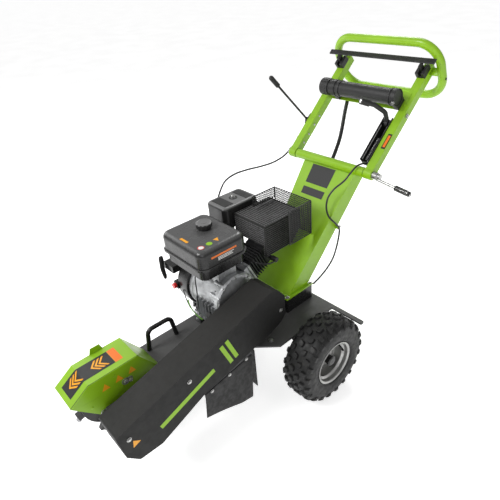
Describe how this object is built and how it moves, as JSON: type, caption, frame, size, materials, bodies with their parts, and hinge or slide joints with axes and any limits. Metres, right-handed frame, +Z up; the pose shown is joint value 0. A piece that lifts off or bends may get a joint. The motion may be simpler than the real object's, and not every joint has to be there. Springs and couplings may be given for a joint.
{
  "type": "stump grinder",
  "caption": "Walk-behind stump grinder: engine on a two-wheeled deck drives a toothed cutting disc through a guarded belt, steered by a raked column and loop handle",
  "frame": {"origin": "on the ground, midway between the wheels, straight below the axle", "axes": "+Z up, -Y towards the cutter, +X to the left of an operator at the handle"},
  "size_m": [0.843, 1.8848, 1.396],
  "materials": {
    "green_paint": "lime green powder coat, light orange peel, edge wear",
    "charcoal_paint": "satin charcoal powder coat",
    "deck_paint": "dark grey satin paint",
    "silver_paint": "silver wheel enamel",
    "tyre_rubber": "dull black tread rubber",
    "steel": "zinc plated steel",
    "fastener_steel": "bright zinc",
    "cast_iron": "dark cast iron",
    "disc_steel": "black painted steel plate",
    "carbide": "sintered carbide and brazed steel",
    "cast_aluminium": "sand-cast aluminium",
    "engine_black": "semi-gloss black enamel",
    "black_plastic": "textured black moulding",
    "lever_black": "soft black grip over black steel",
    "belt_rubber": "wrapped V-belt rubber",
    "flap_rubber": "matt sheet rubber",
    "mesh_wire": "black welded wire",
    "red_plastic": "red moulding",
    "plug_ceramic": "black boot over glazed plug",
    "cable_sleeve": "black cable sleeve"
  },
  "bodies": {
    "frame": {"deck_plate": "deck_paint", "axle": "steel", "cutter_hood": "green_paint", "cutter_rails": "deck_paint", "cutter_bearings": "cast_iron", "drive_belts": "belt_rubber", "belt_guard": "charcoal_paint", "belt_guard_back": "charcoal_paint", "rubber_flaps": "flap_rubber", "flap_strips": "deck_paint", "frame_bolts": "fastener_steel", "lift_bow": "deck_paint", "engine_rails": "charcoal_paint", "crankcase": "cast_aluminium", "cylinder": "cast_aluminium", "spark_plug": "plug_ceramic", "fan_housing": "engine_black", "fuel_tank": "engine_black", "air_filter": "black_plastic", "carburettor": "cast_aluminium", "muffler": "engine_black", "muffler_guard": "engine_black", "heat_mesh": "mesh_wire", "column_riser": "deck_paint", "steering_column": "green_paint", "throttle_cable": "cable_sleeve", "brake_cable": "cable_sleeve", "conduit": "cable_sleeve"},
    "left_wheel": {"left_rim": "silver_paint", "left_tyre": "tyre_rubber", "left_hub": "steel"},
    "right_wheel": {"right_rim": "silver_paint", "right_tyre": "tyre_rubber", "right_hub": "steel"},
    "cutter": {"cutter_shaft": "steel", "cutter_disc": "disc_steel", "tooth_holders": "cast_iron", "carbide_teeth": "carbide", "driven_pulley": "cast_iron"},
    "crank": {"crankshaft": "steel", "drive_pulley": "cast_iron"},
    "handle": {"pivot_pin": "steel", "left_arm": "green_paint", "right_arm": "green_paint", "cross_plate": "green_paint", "tube_saddles": "steel", "handle_loop": "green_paint", "presence_housings": "black_plastic", "throttle_bracket": "steel", "brake_bracket": "black_plastic", "document_tube": "black_plastic"},
    "presence": {"presence_bar": "black_plastic"},
    "throttle": {"throttle_lever": "lever_black"},
    "brake": {"brake_lever": "lever_black"},
    "clamp": {"clamp_lever": "lever_black"},
    "cap_of_tube": {"tube_cap": "black_plastic"},
    "cap_of_tank": {"fuel_cap": "black_plastic"},
    "wing_nut_body": {"wing_nut": "fastener_steel"},
    "recoil": {"recoil_handle": "black_plastic"},
    "switch": {"engine_switch": "red_plastic"}
  },
  "joints": [
    {"name": "left_wheel_spin", "type": "hinge", "parent": "frame", "child": "left_wheel", "pos_m": [0.335, 0, 0.203], "axis": [1, 0, 0], "continuous": true},
    {"name": "right_wheel_spin", "type": "hinge", "parent": "frame", "child": "right_wheel", "pos_m": [-0.335, 0, 0.203], "axis": [1, 0, 0], "continuous": true},
    {"name": "cutter_spin", "type": "hinge", "parent": "frame", "child": "cutter", "pos_m": [0, -0.795, 0.28], "axis": [1, 0, 0], "continuous": true},
    {"name": "crank_spin", "type": "hinge", "parent": "frame", "child": "crank", "pos_m": [0, -0.205, 0.495], "axis": [1, 0, 0], "continuous": true},
    {"name": "handle_tilt", "type": "hinge", "parent": "frame", "child": "handle", "pos_m": [0, 0.43, 0.905], "axis": [1, 0, 0], "range_deg": [-30, 20], "deforming": ["throttle_cable", "brake_cable", "conduit"]},
    {"name": "presence_squeeze", "type": "hinge", "parent": "handle", "child": "presence", "pos_m": [0, 0.77629, 1.27063], "axis": [1, 0, 0], "range_deg": [-20, 0], "stiffness_Nm_per_rad": 6},
    {"name": "throttle_turn", "type": "hinge", "parent": "handle", "child": "throttle", "pos_m": [0, 0.56377, 1.02544], "axis": [1, 0, 0], "range_deg": [-20, 30]},
    {"name": "brake_pull", "type": "hinge", "parent": "handle", "child": "brake", "pos_m": [0, 0.60597, 1.07421], "axis": [1, 0, 0], "range_deg": [0, 40]},
    {"name": "clamp_turn", "type": "hinge", "parent": "handle", "child": "clamp", "pos_m": [0, 0.43, 0.905], "axis": [1, 0, 0], "range_deg": [0, 150]},
    {"name": "tube_cap_turn", "type": "hinge", "parent": "handle", "child": "cap_of_tube", "pos_m": [0, 0.62661, 1.1843], "axis": [1, 0, 0], "continuous": true},
    {"name": "fuel_cap_turn", "type": "hinge", "parent": "frame", "child": "cap_of_tank", "pos_m": [-0.155, -0.205, 0.78], "axis": [0, 0, 1], "range_deg": [0, 90]},
    {"name": "wing_nut_turn", "type": "hinge", "parent": "frame", "child": "wing_nut_body", "pos_m": [-0.2547, 0.04, 0.795], "axis": [0, 0, 1], "continuous": true},
    {"name": "recoil_pull", "type": "slide", "parent": "frame", "child": "recoil", "axis": [0, -0.9397, 0.342], "range_m": [0, 0.5]},
    {"name": "switch_turn", "type": "hinge", "parent": "frame", "child": "switch", "pos_m": [-0.255, -0.345, 0.495], "axis": [0, 1, 0], "range_deg": [0, 60]}
  ],
  "couplings": [
    {"joint": "crank_spin", "follows": "cutter_spin", "ratio": 1.1481}
  ]
}
